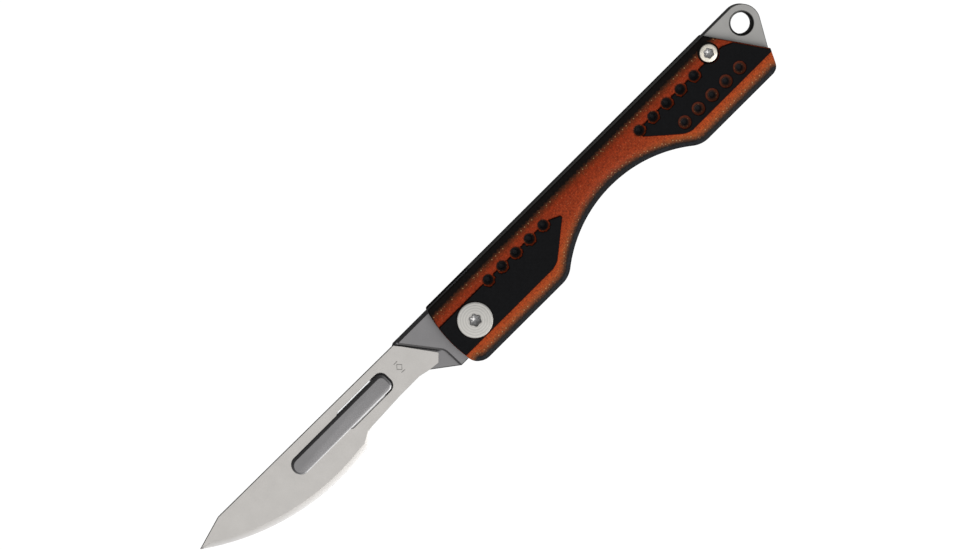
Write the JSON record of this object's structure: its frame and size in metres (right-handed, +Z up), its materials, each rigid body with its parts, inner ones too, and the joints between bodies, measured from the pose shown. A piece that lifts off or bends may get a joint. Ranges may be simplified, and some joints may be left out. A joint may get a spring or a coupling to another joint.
{
  "type": "folding scalpel craft knife",
  "caption": "Folding craft knife with a replaceable scalpel blade, layered laminate handle scales, a finger waist and a lanyard tab.",
  "frame": {"origin": "centre of the open knife's box in plan, on the surface it lies on", "axes": "+X from the point towards the tail, +Y from the belly to the spine, +Z up through the pivot, from the back scale to the front scale"},
  "size_m": [0.1442, 0.0144, 0.0091],
  "materials": {
    "scale_laminate": "layered glass-fibre laminate, black skin over orange, satin",
    "liner_steel": "stone-washed",
    "spacer_blasted": "bead-blasted",
    "hardware_steel": "turned, fine concentric lines",
    "bright_screw": "polished, warm white",
    "washer_bronze": "rolled sheet",
    "holder_satin": "fine satin",
    "blade_steel": "satin with a bright ground edge"
  },
  "bodies": {
    "handle": {"front_scale": "scale_laminate", "back_scale": "scale_laminate", "front_liner": "liner_steel", "back_liner": "liner_steel", "backspacer": "spacer_blasted", "backspacer_pin": "hardware_steel", "detent_ball": "hardware_steel", "pivot_barrel": "hardware_steel", "pivot_screw": "hardware_steel", "front_washer": "washer_bronze", "back_washer": "washer_bronze", "body_barrel": "bright_screw", "body_screw": "bright_screw"},
    "blade": {"blade_holder": "holder_satin", "scalpel_blade": "blade_steel", "stop_pin": "hardware_steel"}
  },
  "joints": [
    {"name": "blade_fold", "type": "hinge", "parent": "handle", "child": "blade", "pos_m": [-0.00562, -0.00021, 0.0044], "axis": [0, 0, 1], "range_deg": [0, 180]}
  ]
}
